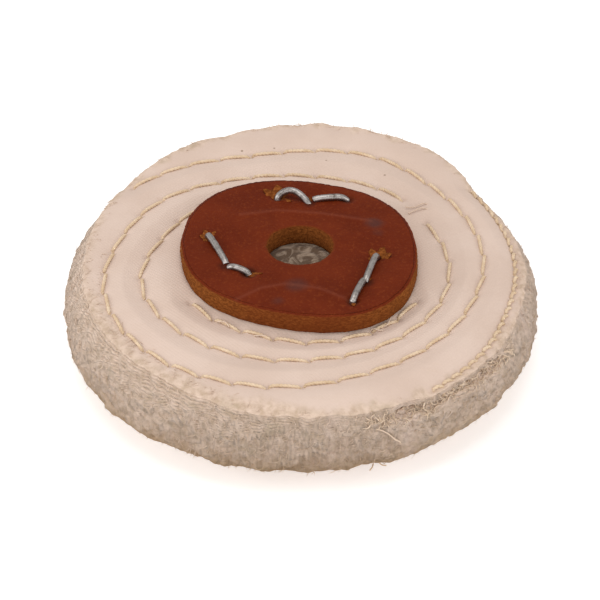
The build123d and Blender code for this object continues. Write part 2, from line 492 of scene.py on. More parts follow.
# How far in the edges are brushed: everywhere, and how much more at the front and at the left
BRUSHED, BRUSHED_FRONT, BRUSHED_LEFT = 2.4, 2.0, 0.6
FRONT = (-172, -84, 14)
SOILED_RADIUS = 9.0
for number, name in enumerate(ply_names):
    is_face = number in (0, PLY_COUNT - 1)
    sectors = FACE_SECTORS if is_face else INNER_SECTORS
    above, below = COARSE, COARSE
    if is_face:
        above, below = (FINE, LIGHT) if number else (LIGHT, FINE)
    points, faces = ply(number, above, below, sectors)
    piece = new_piece(f"calico_{name[6:]}", points, faces, calico)
    radius = np.hypot(points[:, 0], points[:, 1])
    angle = np.degrees(np.arctan2(points[:, 1], points[:, 0]))
    edge = ply_edge(angle, (number + 0.5) / PLY_COUNT, 0.0)
    front = window(angle, *FRONT)
    ragged = 0.8 * bunches.at(angle, radius) + 0.4 * frays.at(angle, radius * 0.3)
    left = window(np.mod(angle, 360), *LEFT)
    reach = BRUSHED + BRUSHED_FRONT * front + BRUSHED_LEFT * left + ragged * (0.7 - 0.3 * left)
    paint(piece, "brushed", ease((radius - edge + reach) / (2.2 + front + 1.5 * left)))
    paint(piece, "soiled", ease((SOILED_RADIUS - radius) / 2.0))
    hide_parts(name)
    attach(piece, "root")
    under = ply_names[number - 1] if number else "leather_washer_bottom"

# ---------------------------------------------------------------- brushed rim
# Running against work has teased short fibres out of every cut edge, and they lie matted over
# the rim. One band for each third of the height is covered with bent tapering strands.


class Growth(Tree):
    """A geometry tree with named inputs, which is run on a piece and then taken off again."""

    def __init__(self, name, inputs):
        node_tree = bpy.data.node_groups.new(name, "GeometryNodeTree")
        super().__init__(node_tree)
        node_tree.interface.new_socket("Geometry", in_out="INPUT", socket_type="NodeSocketGeometry")
        self.identifiers = {}
        for label, kind in inputs.items():
            item = node_tree.interface.new_socket(label, in_out="INPUT", socket_type=kind)
            self.identifiers[label] = item.identifier
        node_tree.interface.new_socket("Geometry", in_out="OUTPUT", socket_type="NodeSocketGeometry")
        self.start = node_tree.nodes.new("NodeGroupInput")
        self.end = node_tree.nodes.new("NodeGroupOutput")

    def given(self, label):
        """One of the tree's inputs."""
        return Socket(self, self.start.outputs[label])

    def result(self, geometry):
        """Makes this geometry what the tree gives back."""
        self.node_tree.links.new(geometry.socket, self.end.inputs[0])

    def grow(self, base, values, name):
        """Runs the tree on a base object and returns its result as a plain mesh piece."""
        modifier = base.modifiers.new("growth", "NODES")
        modifier.node_group = self.node_tree
        for label, value in values.items():
            modifier[self.identifiers[label]] = value
        seen = base.evaluated_get(bpy.context.evaluated_depsgraph_get())
        mesh = bpy.data.meshes.new_from_object(seen)
        base.modifiers.clear()
        bpy.data.objects.remove(base)
        mesh.name = name
        made = bpy.data.objects.new(name, mesh)
        bpy.context.scene.collection.objects.link(made)
        return made


WHOLE_TURN = (-180, 180)
BAND_SINK = 0.15
INSETS = (0.25, 0.5, 0.75, 1.0)


def rim_band(name, low_share, high_share, turn=WHOLE_TURN, rows=10, sectors=300, over_top=False):
    """The rim between two shares of the height and two angles, as a band to grow strands on."""
    start, end = turn
    angle = np.linspace(start, end, sectors, endpoint=False)
    closed = end - start == 360
    points = []
    for share in np.linspace(low_share, high_share, rows):
        nominal = STACK_LOW + share * (STACK_HIGH - STACK_LOW)
        radius = ply_edge(angle, share, nominal) - BAND_SINK
        flat = around(radius, angle)
        high = STACK_HIGH + face_height(flat, True)
        low = STACK_LOW - face_height(flat, False)
        level = low + share * (high - low) + ply_lift(radius, angle, nominal, share)
        points.append(np.column_stack([flat, level]))
    if over_top:
        front = window(angle, *FRONT)
        left = window(np.mod(angle, 360), *LEFT)
        for inset in INSETS:
            radius = ply_edge(angle, 1.0, STACK_HIGH) - inset * (1.0 + 1.6 * front + 1.8 * left)
            flat = around(radius, angle)
            points.append(np.column_stack([flat, STACK_HIGH + face_height(flat, True) - 0.05]))
        rows += len(INSETS)
    faces = []
    for row in range(rows - 1):
        for k in range(sectors if closed else sectors - 1):
            after = (k + 1) % sectors
            here = row * sectors
            faces.append((here + k, here + after, here + sectors + after, here + sectors + k))
    return new_piece(name, np.vstack(points), faces, fluff)


NAP_DARK, NAP_PALE = rgb(0.47, 0.335, 0.225), rgb(0.72, 0.56, 0.43)
NAP_SHADE, NAP_PALE_AND_LIT = rgb(0.45, 0.33, 0.22), rgb(0.68, 0.525, 0.42)
fluff, tree, shader = new_material("brushed_cotton", 0.95, Specular_IOR_Level=0.1, Sheen_Weight=0.1)
place = tree.place()
patches = tree.noise(place, 160.0, 4.0, 0.6)
mottle = tree.noise(place, 640.0, 3.0)
colour = tree.blend(tree.ramp(patches, 0.38, 0.62), NAP_DARK, NAP_PALE)
colour = tree.blend(tree.ramp(mottle, 0.55, 0.8) * 0.5, colour, NAP_SHADE)
split = tree.node("ShaderNodeSeparateXYZ", None, {0: place})
height = split.also("Z")
colour = browned_low(tree, colour, height, patches)
# Partly painted light: the strands turn paler towards the top of the rim, where the overhead light falls,
# and partly take the paler colour of the upper face
paler_and_lit = tree.ramp(height + patches * 0.003, 0.0155, 0.021) * 0.75
colour = tree.blend(paler_and_lit, colour, NAP_PALE_AND_LIT)
feed(tree, shader, Base_Color=colour)
bumped(tree, shader, mottle, 0.4, 0.0001)

# A strand's bend and tip, as shares of its length along and across, and of its stand upwards
STRAND_BEND, STRAND_TIP = (0.35, 0.22, 1.9), (0.9, -0.12, 0.35)
STRAND_ROOT = -0.3 * MM
# Strands taper to almost nothing, lean a little either way, and differ in size
THICK_AT_ROOT = 1.15
LEAN_X, LEAN_Y = 0.06, 0.07
SHORTEST, LONGEST = 0.45, 1.5
STRAND_INPUTS = {
    "Strands per square metre": "NodeSocketFloat",
    "Strand length": "NodeSocketFloat",
    "Strand radius": "NodeSocketFloat",
    "Stand": "NodeSocketFloat",
    "Seed": "NodeSocketInt",
    "Material": "NodeSocketMaterial",
}
growth = Growth("brushed_rim_strands", STRAND_INPUTS)
density, seed = growth.given("Strands per square metre"), growth.given("Seed")
spots = growth.node(
    "GeometryNodeDistributePointsOnFaces", None,
    {"Mesh": growth.given("Geometry"), "Density": density, "Seed": seed}, "Points",
)
normal = spots.also("Normal")
length, stand = growth.given("Strand length"), growth.given("Stand")
middle, tip = (
    growth.node("ShaderNodeCombineXYZ", None, {"X": length * far, "Y": length * aside, "Z": stand * up})
    for far, aside, up in (STRAND_BEND, STRAND_TIP)
)
line = growth.node(
    "GeometryNodeCurveQuadraticBezier", None,
    {"Resolution": 5, "Start": (0.0, 0.0, STRAND_ROOT), "Middle": middle, "End": tip},
)
ratio = growth.node("GeometryNodeSplineParameter", output="Factor")
tapered = growth.given("Strand radius") * (THICK_AT_ROOT - ratio)
section = growth.node("GeometryNodeCurvePrimitiveCircle", None, {"Resolution": 3, "Radius": 1.0})
strand = growth.node(
    "GeometryNodeCurveToMesh", None,
    {"Curve": line, "Profile Curve": section, "Scale": tapered, "Fill Caps": True},
)
outward = growth.node("FunctionNodeAlignRotationToVector", {"axis": "Z"}, {"Vector": normal})
spin = growth.node(
    "FunctionNodeRandomValue", {"data_type": "FLOAT"}, {2: -math.pi, 3: math.pi, "Seed": seed}, 1
)
spins = {"X": spin * LEAN_X, "Y": spin * LEAN_Y, "Z": spin}
spin_vector = growth.node("ShaderNodeCombineXYZ", None, spins)
turn = growth.node("FunctionNodeEulerToRotation", None, {0: spin_vector})
turned = growth.node("FunctionNodeRotateRotation", {"rotation_space": "LOCAL"}, {0: outward, 1: turn})
size = growth.node(
    "FunctionNodeRandomValue", {"data_type": "FLOAT"},
    {2: SHORTEST, 3: LONGEST, "Seed": seed + 7.0}, 1,
)
placed = growth.node(
    "GeometryNodeInstanceOnPoints", None,
    {"Points": spots, "Instance": strand, "Rotation": turned, "Scale": size},
)
real = growth.node("GeometryNodeRealizeInstances", None, {"Geometry": placed})
finished = growth.node(
    "GeometryNodeSetMaterial", None, {"Geometry": real, "Material": growth.given("Material")}
)
growth.result(finished)

BANDS = (("lower", 0.0, 0.34), ("middle", 0.33, 0.67), ("upper", 0.66, 0.985))
for number, (band, low_share, high_share) in enumerate(BANDS):
    base = rim_band(f"rim_band_{band}", low_share, high_share, over_top=band == "upper")
    values = {
        "Strands per square metre": 1.3e6,
        "Strand length": 1.7 * MM,
        "Strand radius": 0.075 * MM,
        "Stand": 0.04 * MM,
        "Seed": 11 + number,
        "Material": fluff,
    }
    piece = growth.grow(base, values, f"brushed_rim_{band}")
    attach(piece, "root")

# ---------------------------------------------------------------- frayed lip
# Just under the top at the front right, the edges of a few plies have frayed back into a
# groove. Their yarns stand out of it as a curled fringe, paler than the matted rim.
FRINGE_YARN = rgb(0.74, 0.585, 0.44)
fringe, tree, shader = new_material("frayed_fringe", 0.9, Specular_IOR_Level=0.1)
shader.inputs["Base Color"].default_value = FRINGE_YARN
base = rim_band("rim_band_lip", 0.8, 0.93, (-74, -28), rows=4, sectors=90)
values = {
    "Strands per square metre": 3.0e6,
    "Strand length": 1.6 * MM,
    "Strand radius": 0.14 * MM,
    "Stand": 0.42 * MM,
    "Seed": 23,
    "Material": fringe,
}
piece = growth.grow(base, values, "frayed_lip_fringe")
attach(piece, "root")

# ---------------------------------------------------------------- sewing threads
# Waxed cotton thread of two twisted strands, a little yellower than the cloth. It lies across
# the face from hole to hole, slightly askew, and dives into the cloth at each hole.
THREAD_RADIUS = 0.39
THREAD_STEP = 0.24 * MM
TURNS_PER_METRE = 620.0
# The two strands show as a waist in the section
WAIST, FLATTENED = 0.80, 0.95
# A thread's depth under the face along one stitch, as (share of the stitch, depth)
STITCH = [
    (0.03, 2.6), (0.035, 1.2), (0.06, 0.35), (0.12, 0.02), (0.3, -0.08), (0.5, -0.12),
    (0.7, -0.08), (0.88, 0.02), (0.94, 0.35), (0.965, 1.2), (0.97, 2.6),
]
SLANT = 0.32
# A thread lies this high on the cloth, as a share of its radius, and never rides up further
LAID_IN, HIGHEST_RIDE = 0.45, 0.1
THREAD_DARK, THREAD_PALE = rgb(0.62, 0.455, 0.295), rgb(0.72, 0.56, 0.40)

thread_wax, tree, shader = new_material("waxed_thread", 0.78, Specular_IOR_Level=0.2)
place = tree.place()
waxed = tree.ramp(tree.noise(place, 420.0), 0.35, 0.7)
feed(tree, shader, Base_Color=tree.blend(waxed, THREAD_DARK, THREAD_PALE))
bumped(tree, shader, tree.noise(place, 3000.0), 0.3, 0.00005)

TWIST_INPUTS = {
    "Thread radius": "NodeSocketFloat",
    "Turns per metre": "NodeSocketFloat",
    "Material": "NodeSocketMaterial",
}
twist = Growth("two_strand_twist", TWIST_INPUTS)
course = twist.node("GeometryNodeMeshToCurve", None, {"Mesh": twist.given("Geometry")})
course = twist.node(
    "GeometryNodeResampleCurve", {"mode": "LENGTH"}, {"Curve": course, "Length": THREAD_STEP}
)
run = twist.node("GeometryNodeSplineParameter", output="Length")
course = twist.node(
    "GeometryNodeSetCurveTilt", None,
    {"Curve": course, "Tilt": run * twist.given("Turns per metre") * (2 * math.pi)},
)
radius = twist.given("Thread radius")
strand_section = twist.node("GeometryNodeCurvePrimitiveCircle", None, {"Resolution": 12, "Radius": 1.0})
position = twist.node("GeometryNodeInputPosition")
parts = twist.node("ShaderNodeSeparateXYZ", None, {0: position})
side_x = parts.also("X")
side_y = parts.also("Y")
lobes = WAIST + side_x * side_x * (1 - WAIST)
profile_place = twist.node(
    "ShaderNodeCombineXYZ", None, {"X": side_x * radius, "Y": side_y * lobes * radius * FLATTENED}
)
strand_section = twist.node(
    "GeometryNodeSetPosition", None, {"Geometry": strand_section, "Position": profile_place}
)
body = twist.node(
    "GeometryNodeCurveToMesh", None, {"Curve": course, "Profile Curve": strand_section, "Fill Caps": True}
)
real = twist.node("GeometryNodeRealizeInstances", None, {"Geometry": body})
finished = twist.node(
    "GeometryNodeSetMaterial", None, {"Geometry": real, "Material": twist.given("Material")}
)
twist.result(finished)


def thread_course(holes, upper):
    """Points down the middle of a thread: over the face, and down into every hole."""
    points = []
    for here, there in zip(holes, holes[1:]):
        along = (there - here) / np.linalg.norm(there - here)
        across = np.array([-along[1], along[0]]) * SLANT
        for share, depth in STITCH:
            spot = here + (there - here) * share + across * (1 - 2 * share)
            points.append((spot[0], spot[1], depth))
    points = np.array(points)
    cloth = np.minimum(face_height(points[:, :2], upper), HIGHEST_RIDE)
    lift = cloth + THREAD_RADIUS * LAID_IN - points[:, 2]
    level = STACK_HIGH + lift if upper else STACK_LOW - lift
    return np.column_stack([points[:, :2], level])


def thread_base(name, course_points):
    """A chain of edges that a thread is grown on."""
    mesh = bpy.data.meshes.new(name)
    links = [(k, k + 1) for k in range(len(course_points) - 1)]
    mesh.from_pydata([tuple(p) for p in course_points * MM], links, [])
    made = bpy.data.objects.new(name, mesh)
    bpy.context.scene.collection.objects.link(made)
    return made


for seam, holes in needle_holes.items():
    for kind, upper in (("needle", True), ("bobbin", False)):
        base = thread_base(f"{kind}_course_{seam}", thread_course(holes, upper))
        values = {
            "Thread radius": THREAD_RADIUS * MM,
            "Turns per metre": TURNS_PER_METRE,
            "Material": thread_wax,
        }
        piece = twist.grow(base, values, f"sewn_{kind}_thread_{seam}")
        piece.data.shade_smooth()
        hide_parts(f"{kind}_thread_{seam}")
        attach(piece, "root")

# ---------------------------------------------------------------- leather washers
# Two discs of vegetable-tanned sole leather, cut with a knife and punched for the spindle.
# The grain side is dyed red-brown and lies outwards; the cut edge shows raw ochre fibres.
WASHER_LOW, WASHER_HIGH = (corner.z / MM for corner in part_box("leather_washer_top"))
WASHER_THICKNESS = WASHER_HIGH - WASHER_LOW
# Where the two legs of each staple come up
STAPLES = {
    "left": ((-19.3, 3.4), (-10.6, -9.7)),
    "back": ((-4.8, 17.9), (10.1, 17.2)),
    "right": ((16.0, -3.9), (10.8, -19.3)),
}
# Two faint folds in the grain
CREASES = [
    [(-12.5, 10.8), (-5.0, 12.6), (4.0, 11.6), (15.0, 8.6)],
    [(-13.0, -19.0), (-8.0, -15.2), (-3.0, -13.8), (4.0, -15.4), (11.5, -20.0)],
]


def chain_gap(places, chain):
    """Distance from each place to a chain of straight runs."""
    found = np.full(len(places), np.inf)
    for start, end in zip(np.array(chain), np.array(chain)[1:]):
        run = end - start
        share = np.clip(((places - start) @ run) / (run @ run), 0, 1)
        found = np.minimum(found, np.linalg.norm(places - start - share[:, None] * run, axis=1))
    return found


# What shapes the grain side in millimetres. A pair is a height or depth and how far it reaches
ROLL, WORN_OFF = 0.10, 0.35 * 0.6
WIRE_DENT, LEG_DENT = (0.42, 2.1), (0.35, 1.1)
LEG_SWELL, LEG_SWELL_AT = (0.16, 0.8), 1.9
CROWN_CUT, CROWN_DENT = 1.35, (0.15, 3.0)
CREASE = (0.13, 0.9)
GRAIN_SINK_BELOW = 0.14


def bell(gap, height, reach):
    """A smooth rise to a height where the gap is 0."""
    return height * np.exp(-((gap / reach) ** 2))


def grain_relief(places, upper):
    """How far the grain side stands out from its flat level, in millimetres."""
    radius = np.hypot(places[:, 0], places[:, 1])
    angle = np.degrees(np.arctan2(places[:, 1], places[:, 0]))
    relief = ROLL * swells.at(angle, radius * 1.2) - WORN_OFF * ease((radius - 17) / 9)
    for first_leg, second_leg in STAPLES.values():
        wire_gap = chain_gap(places, [first_leg, second_leg])
        if upper:
            relief = relief - bell(wire_gap, *WIRE_DENT)
            for leg in (first_leg, second_leg):
                leg_gap = np.hypot(places[:, 0] - leg[0], places[:, 1] - leg[1])
                relief = relief - bell(leg_gap, *LEG_DENT) + bell(leg_gap - LEG_SWELL_AT, *LEG_SWELL)
        else:
            relief = relief - CROWN_CUT * ease((1.25 - wire_gap) / 0.7) - bell(wire_gap, *CROWN_DENT)
    if not upper:
        return relief - GRAIN_SINK_BELOW
    for chain in CREASES:
        relief = relief + bell(chain_gap(places, chain), *CREASE)
    return relief


# The raw edge is a little proud at mid height and fibrous, and has painted shade towards the front
EDGE_BULGE, EDGE_FIBRES, EDGE_FRONT_SHADE = 0.28, 0.06, 0.42
FLESH_SINK = -0.14
WASHER_SECTORS = 400
# How ragged the knife and the punch have left the outline and the hole
KNIFE_FINE, KNIFE_WIDE = 0.025, 0.06
PUNCH_FINE, PUNCH_WIDE = 0.03, 0.08
rough = Waves(8, 46, 40, 190, 7.0)


def section_rings():
    """A washer's section from the flesh side round, as (across, up, inset, rounding, raw)."""
    rings = [(share, 0.0, 0.0, 0.0, 1.0) for share in np.linspace(0.0, 1.0, 7)]
    rings += [(1.0, share, 0.0, 0.0, 1.0) for share in np.linspace(0.06, 0.9, 16)]
    rings += [(1.0, 0.96, 0.02, 0.0, 0.25), (1.0, 1.0, 0.09, -0.16, 0.0)]
    rings += [(1.0, 1.0, 0.26, -0.04, 0.0), (1.0, 1.0, 0.5, 0.0, 0.0)]
    rings += [(share, 1.0, 0.0, 0.0, 0.0) for share in np.linspace(0.975, 0.03, 62)]
    rings += [(0.0, 1.0, 0.0, 0.0, 0.25), (0.0, 0.95, 0.0, 0.0, 0.9)]
    rings += [(0.0, share, 0.0, 0.0, 1.0) for share in np.linspace(0.86, 0.1, 12)]
    return rings


def washer(upper):
    """Points, faces and cut-edge paint of one washer, ring by ring round its section, with painted shade
    on the front of the edge.
    """
    sectors = WASHER_SECTORS
    turn = TOP_TURN if upper else BOTTOM_TURN
    angle = np.linspace(-180, 180, sectors, endpoint=False)
    knife = KNIFE_FINE * frays.at(angle, 0) + KNIFE_WIDE * bunches.at(angle, 5)
    outline = washer_radius(angle, turn) + knife
    hole = HOLE_RADIUS + PUNCH_WIDE * swells.at(angle * 3, 2) + PUNCH_FINE * frays.at(angle, 3)
    rings = section_rings()
    points, cut = [], []
    for across_share, up_share, inset, rounding, cut_share in rings:
        radius = hole + (outline - inset - hole) * across_share
        wall = across_share in (0.0, 1.0) and 0 < up_share < 0.97
        if wall:
            fibres = EDGE_FIBRES * rough.at(angle, up_share * WASHER_THICKNESS)
            bulge = EDGE_BULGE * math.sin(math.pi * up_share)
            radius = radius + (fibres + bulge) * (1 if across_share else -0.8)
        flat = around(radius, angle)
        relief = grain_relief(flat, upper)
        lean = -TILT * flat[:, 1] if upper else 0.0
        flesh = FLESH_SINK + lean
        grain = WASHER_THICKNESS + relief + lean
        out = flesh + (grain - flesh) * up_share + rounding
        level = WASHER_LOW + out if upper else STACK_LOW - out
        points.append(np.column_stack([flat, level]))
        # Painted shade: the raw-edge paint is lowered towards the front, so that part of the edge takes
        # the darker dye colour
        cut.append(cut_share * (1 - EDGE_FRONT_SHADE * window(angle, -140, -40, 35)))
    faces = []
    count = len(rings)
    for ring in range(count):
        here, above = ring * sectors, (ring + 1) % count * sectors
        for k in range(sectors):
            after = (k + 1) % sectors
            face = (here + k, here + after, above + after, above + k)
            faces.append(face if upper else face[::-1])
    return np.vstack(points), faces, np.concatenate(cut)


# Half of a flake's thickness, the rise along its middle, and half of its width at the tip
FLAKE_THICKNESS, FLAKE_RIDGE, FLAKE_TIP = 0.16, 0.10, 0.08


def torn_flake(root, heading, length, width, lift, seed, level):
    """A sliver of torn leather at a staple hole: a thin ragged tongue that curls up."""
    draw = np.random.default_rng(seed)
    along = on_circle(1.0, heading)
    across = np.array([-along[1], along[0]])
    stations, points, faces = 6, [], []
    for side in (1, -1):
        for k in range(stations):
            share = k / (stations - 1)
            half = width / 2 * (1 - share ** 3) * draw.uniform(0.7, 1.2) + FLAKE_TIP
            sway = draw.uniform(-0.12, 0.12) * width
            for edge in (-1, 0, 1):
                flat = np.array(root) + along * length * share + across * (half * edge + sway)
                thickness = side * FLAKE_THICKNESS * (1 - 0.6 * share)
                height = lift * share ** 1.3 + FLAKE_RIDGE * (edge == 0) + thickness
                points.append((flat[0], flat[1], level + height + draw.uniform(-0.05, 0.05)))
    layer = stations * 3
    for k in range(stations - 1):
        for edge in (0, 1):
            here = k * 3 + edge
            faces.append((here, here + 3, here + 4, here + 1))
            faces.append((layer + here, layer + here + 1, layer + here + 4, layer + here + 3))
    one_side = [k * 3 for k in range(stations)]
    other_side = [k * 3 + 2 for k in reversed(range(stations))]
    ring = one_side + [layer - 2] + other_side + [1]
    for here, there in zip(ring, ring[1:] + ring[:1]):
        faces.append((there, here, layer + here, layer + there))
    return np.array(points), faces


FLAKE_LEVEL = WASHER_HIGH - 0.55
# Each flake as (root, heading in degrees, length, width, how far it curls up)
FLAKES = [
    ((-19.3, 3.6), 118, 1.9, 1.5, 0.55), ((-19.7, 3.3), 172, 1.3, 1.2, 0.5),
    ((-18.6, 3.9), 50, 1.4, 1.3, 0.45), ((-19.4, 2.6), 225, 1.2, 1.0, 0.35),
    ((-10.4, -10.0), -38, 3.0, 0.8, 0.5), ((-10.0, -9.6), -12, 2.3, 0.7, 0.7),
    ((-14.6, -7.2), -130, 1.2, 0.7, 0.4), ((-5.0, 18.2), 150, 3.2, 2.4, 0.9),
    ((-4.6, 18.6), 100, 2.6, 2.6, 1.0), ((-4.2, 18.4), 45, 2.4, 1.8, 0.8),
    ((-4.2, 17.0), -20, 2.5, 1.5, 0.45), ((-4.9, 16.9), -75, 1.2, 1.4, 0.4),
    ((2.2, 16.4), 100, 1.1, 1.0, 0.5), ((15.9, -3.5), 125, 2.2, 2.0, 0.7),
    ((16.4, -3.4), 60, 2.3, 2.1, 0.9), ((16.9, -4.0), 5, 2.2, 1.9, 1.0),
    ((15.5, -4.3), 200, 1.4, 1.1, 0.4), ((10.9, -19.9), -80, 1.0, 0.8, 0.3),
    ((13.9, -11.9), 10, 0.8, 0.7, 0.4),
]
# Marks on the grain side as (place, reach, strength): dark smudges, one scuff, and painted shade in the
# dents at the wire
SMUDGES = [
    ((15.7, 7.9), 3.4, 0.55), ((-0.6, -14.2), 4.0, 0.45), ((-4.5, -19.5), 2.6, 0.35),
    ((16.4, 4.4), 2.4, 0.25),
]
SCUFFS = [((0.9, -16.4), 1.2, 0.7)]
DENT_SHADE_MARKS = [
    ((-10.8, -9.6), 3.6, 1.0), ((9.9, 17.0), 3.4, 1.0), ((10.8, -19.3), 2.8, 1.0),
    ((-15.2, -7.2), 3.3, 1.0), ((2.1, 15.2), 2.8, 1.0), ((13.7, -12.7), 3.0, 1.0),
]
DYE_DARK, DYE_PALE = rgb(0.105, 0.0135, 0.0032), rgb(0.132, 0.0185, 0.0045)
GRAIN_FLECK, SMUDGE = rgb(0.20, 0.042, 0.010), rgb(0.055, 0.032, 0.030)
SCUFF, DENT_SHADE = rgb(0.26, 0.075, 0.02), rgb(0.034, 0.0075, 0.0035)
CREASED = rgb(0.24, 0.07, 0.04)
RAW_DARK, RAW_PALE = rgb(0.13, 0.036, 0.007), rgb(0.27, 0.086, 0.019)
RAW_CLOUD = rgb(0.13, 0.034, 0.008)

tanned, tree, shader = new_material("tanned_leather", 0.5, Specular_IOR_Level=0.04)
place = tree.place()
# The cut-edge paint also carries painted shade on the front of the edge
cut = tree.painted("cut_edge_and_shade")
cloudy = tree.noise(place, 130.0, 4.0)
fine = tree.noise(place, 1500.0, 4.0, 0.7)
pores = tree.node("ShaderNodeTexVoronoi", None, {"Vector": place, "Scale": 2600.0})
dye = tree.blend(tree.ramp(cloudy, 0.3, 0.7), DYE_DARK, DYE_PALE)
dye = tree.blend(tree.ramp(fine, 0.50, 0.70) * 0.5, dye, GRAIN_FLECK)


def stains_and_shades(marks):
    """Soft round marks on the grain side, added up: stains, and painted shade in the dents at the wire.
    """
    total = 0.0
    for middle, reach, strength in marks:
        inputs = {0: place, 1: (middle[0] * MM, middle[1] * MM, WASHER_HIGH * MM)}
        gap = tree.node("ShaderNodeVectorMath", {"operation": "DISTANCE"}, inputs, "Value")
        uneven = gap + tree.noise(place, 500.0) * 0.0012
        total = total + (1 - tree.ramp(uneven, reach * 0.35 * MM, reach * MM)) * strength
    return total


dye = tree.blend(stains_and_shades(SMUDGES), dye, SMUDGE)
dye = tree.blend(stains_and_shades(SCUFFS), dye, SCUFF)
# Painted shade: a near-black darkening round the staple wires, where they lie in dents in the leather
dye = tree.blend(tree.ramp(stains_and_shades(DENT_SHADE_MARKS), 0.0, 1.0) * 0.72, dye, DENT_SHADE)
crease = tree.painted("crease")
dye = tree.blend(crease * 0.22, dye, CREASED)
layered = tree.node("ShaderNodeMapping", None, {"Vector": place, "Scale": (1.0, 1.0, 2.6)})
fibres = tree.noise(layered, 1300.0, 4.0, 0.65)
raw = tree.blend(tree.ramp(fibres, 0.36, 0.66), RAW_DARK, RAW_PALE)
raw = tree.blend(tree.ramp(cloudy, 0.45, 0.75) * 0.5, raw, RAW_CLOUD)
colour = tree.blend(cut, dye, raw)
feed(tree, shader, Base_Color=colour, Roughness=0.46 + fine * 0.12 + cut * 0.4)
bumped(tree, shader, pores * 0.5 * (1 - cut) + fine * 0.35 + fibres * cut * 2.2, 0.5, 0.00012)

for side, upper in (("top", True), ("bottom", False)):
    points, faces, cut_and_shade_paint = washer(upper)
    if upper:
        for number, (root, heading, length, width, lift) in enumerate(FLAKES):
            level = FLAKE_LEVEL - TILT * root[1]
            flake_points, flake_faces = torn_flake(root, heading, length, width, lift, number, level)
            faces += [tuple(i + len(points) for i in face) for face in flake_faces]
            points = np.vstack([points, flake_points])
            cut_and_shade_paint = np.append(cut_and_shade_paint, np.full(len(flake_points), 0.95))
    piece = new_piece(f"{side}_washer_leather", points, faces, tanned)
    paint(piece, "cut_edge_and_shade", cut_and_shade_paint)
    folds = [chain_gap(points[:, :2], chain) for chain in CREASES]
    paint(piece, "crease", bell(np.minimum(*folds), 1.0, 0.45) * upper)
    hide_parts(f"leather_washer_{side}")
    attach(piece, "root")

# ---------------------------------------------------------------- wire staples
# Soft steel wire, driven up from below through leather and cloth. On top the ends are beaten
# over towards each other; underneath, the crown is pulled into the leather.
WIRE_RADIUS = 0.7
END_SHARE = 0.72
# The clinched ends as (along X, along Y, height over the leather), from hole to tip
CLINCHES = {
    "left": (
        [(-19.3, 3.4, -1.2), (-19.25, 3.2, 0.1), (-18.8, 2.2, 0.62)]
        + [(-17.2, -1.6, 0.52), (-15.7, -5.2, 0.1), (-15.3, -6.3, -0.35)],
        [(-10.6, -9.7, -1.0), (-10.7, -9.6, -0.3), (-11.2, -9.3, 0.1)]
        + [(-12.5, -8.6, 0.35), (-13.9, -7.9, 0.25), (-14.8, -7.5, -0.3)],
    ),
    "back": (
        [(-4.8, 17.0, -1.4), (-4.7, 17.2, 0.3), (-3.7, 17.7, 1.2), (-2.2, 18.0, 1.6)]
        + [(-0.6, 17.6, 1.3), (0.8, 16.6, 0.6), (1.7, 15.8, -0.2), (2.0, 15.5, -0.9)],
        [(10.1, 17.2, -1.2), (9.6, 17.2, -0.2), (8.4, 17.1, 0.42)]
        + [(5.8, 16.9, 0.5), (3.6, 16.6, 0.35), (2.9, 16.5, 0.1)],
    ),
    "right": (
        [(16.0, -3.9, -1.2), (15.9, -4.2, 0.25), (15.5, -5.4, 0.75)]
        + [(14.6, -8.4, 0.6), (13.7, -11.6, 0.25), (13.4, -12.6, -0.35)],
        [(10.8, -19.3, -0.6), (10.9, -19.0, 0.05), (11.3, -17.8, 0.45)]
        + [(12.0, -15.6, 0.5), (12.7, -13.6, 0.45), (13.1, -12.7, 0.3)],
    ),
}


# The crown from a leg towards its middle, as (distance from the leg, height over the floor)
CROWN = [(0.0, 6.0), (0.0, 2.6), (0.5, 1.15), (1.6, WIRE_RADIUS)]
STEEL, TARNISH = rgb(0.40, 0.37, 0.35), rgb(0.13, 0.105, 0.09)


def smooth_line(points, spot):
    """A place on the smooth line through points, where spot 1.5 is halfway from 1 to 2."""
    k = min(int(spot), len(points) - 2)
    t = spot - k
    p0, p1 = points[max(k - 1, 0)], points[k]
    p2, p3 = points[k + 1], points[min(k + 2, len(points) - 1)]
    slope_in, slope_out = (p2 - p0) / 2, (p3 - p1) / 2
    start = p1 * (2 * t**3 - 3 * t**2 + 1) + slope_in * (t**3 - 2 * t**2 + t)
    return start + p2 * (3 * t**2 - 2 * t**3) + slope_out * (t**3 - t**2)


def wire(course_points, radius, sides=16):
    """A round wire along a smooth line through points, with slightly rounded ends."""
    course_points = np.array(course_points, float)
    spots = np.linspace(0, len(course_points) - 1, 8 * (len(course_points) - 1) + 1)
    line = np.array([smooth_line(course_points, spot) for spot in spots])
    heading = np.gradient(line, axis=0)
    heading /= np.linalg.norm(heading, axis=1)[:, None]
    side = np.cross(heading[0], (0.0, 0.0, 1.0) if abs(heading[0][2]) < 0.9 else (1.0, 0.0, 0.0))
    points, faces = [], []
    turns = np.linspace(0, 2 * math.pi, sides, endpoint=False)
    ends = {0: END_SHARE, len(line) - 1: END_SHARE}
    for k, (middle, ahead) in enumerate(zip(line, heading)):
        side = side - ahead * (side @ ahead)
        side = side / np.linalg.norm(side)
        up = np.cross(ahead, side)
        reach = radius * ends.get(k, 1.0)
        for turn in turns:
            points.append(middle + reach * (math.cos(turn) * side + math.sin(turn) * up))
    for k in range(len(line) - 1):
        for j in range(sides):
            after = (j + 1) % sides
            here = k * sides
            faces.append((here + j, here + after, here + sides + after, here + sides + j))
    faces.append(tuple(reversed(range(sides))))
    faces.append(tuple(range((len(line) - 1) * sides, len(line) * sides)))
    return np.array(points), faces


